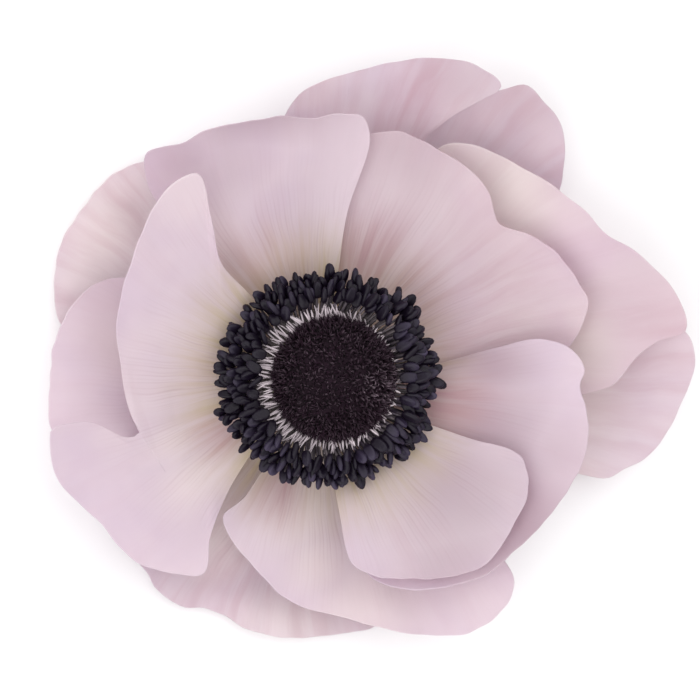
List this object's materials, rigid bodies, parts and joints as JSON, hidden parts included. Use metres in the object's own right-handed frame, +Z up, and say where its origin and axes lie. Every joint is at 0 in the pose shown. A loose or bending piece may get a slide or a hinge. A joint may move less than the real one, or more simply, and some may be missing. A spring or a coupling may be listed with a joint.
{
  "type": "anemone flower",
  "caption": "Open anemone bloom, picked and lying face up: pale broad tepals in layers round a ring of dark stamens and a furry dark carpel head.",
  "frame": {"origin": "centre of the flower's outline, on the plane that it lies on; the bloom's own axis stands 6.5 mm to -X and 3.6 mm to -Y of it", "axes": "+Z up out of the bloom's face, +X along its widest spread, to the right of the picture, +Y to the top of the picture"},
  "size_m": [0.0844, 0.0756, 0.0195],
  "materials": {
    "petal": "matte",
    "petal_outer": "matte",
    "carpel": "matte",
    "stamen": "matte",
    "stem": "satin"
  },
  "bodies": {
    "root": {"tepal_left_inner": "petal", "tepal_lower_right_inner": "petal", "tepal_top_left_inner": "petal", "tepal_right_inner": "petal", "tepal_top_right_inner": "petal", "tepal_bottom": "petal", "tepal_left": "petal", "tepal_top": "petal_outer", "tepal_right": "petal_outer", "tepal_upper_left_outer": "petal_outer", "tepal_upper_right_outer": "petal_outer", "tepal_right_outer": "petal_outer", "tepal_bottom_left_outer": "petal_outer", "carpel_head": "carpel", "stamens": "stamen", "receptacle": "stem"}
  },
  "joints": []
}
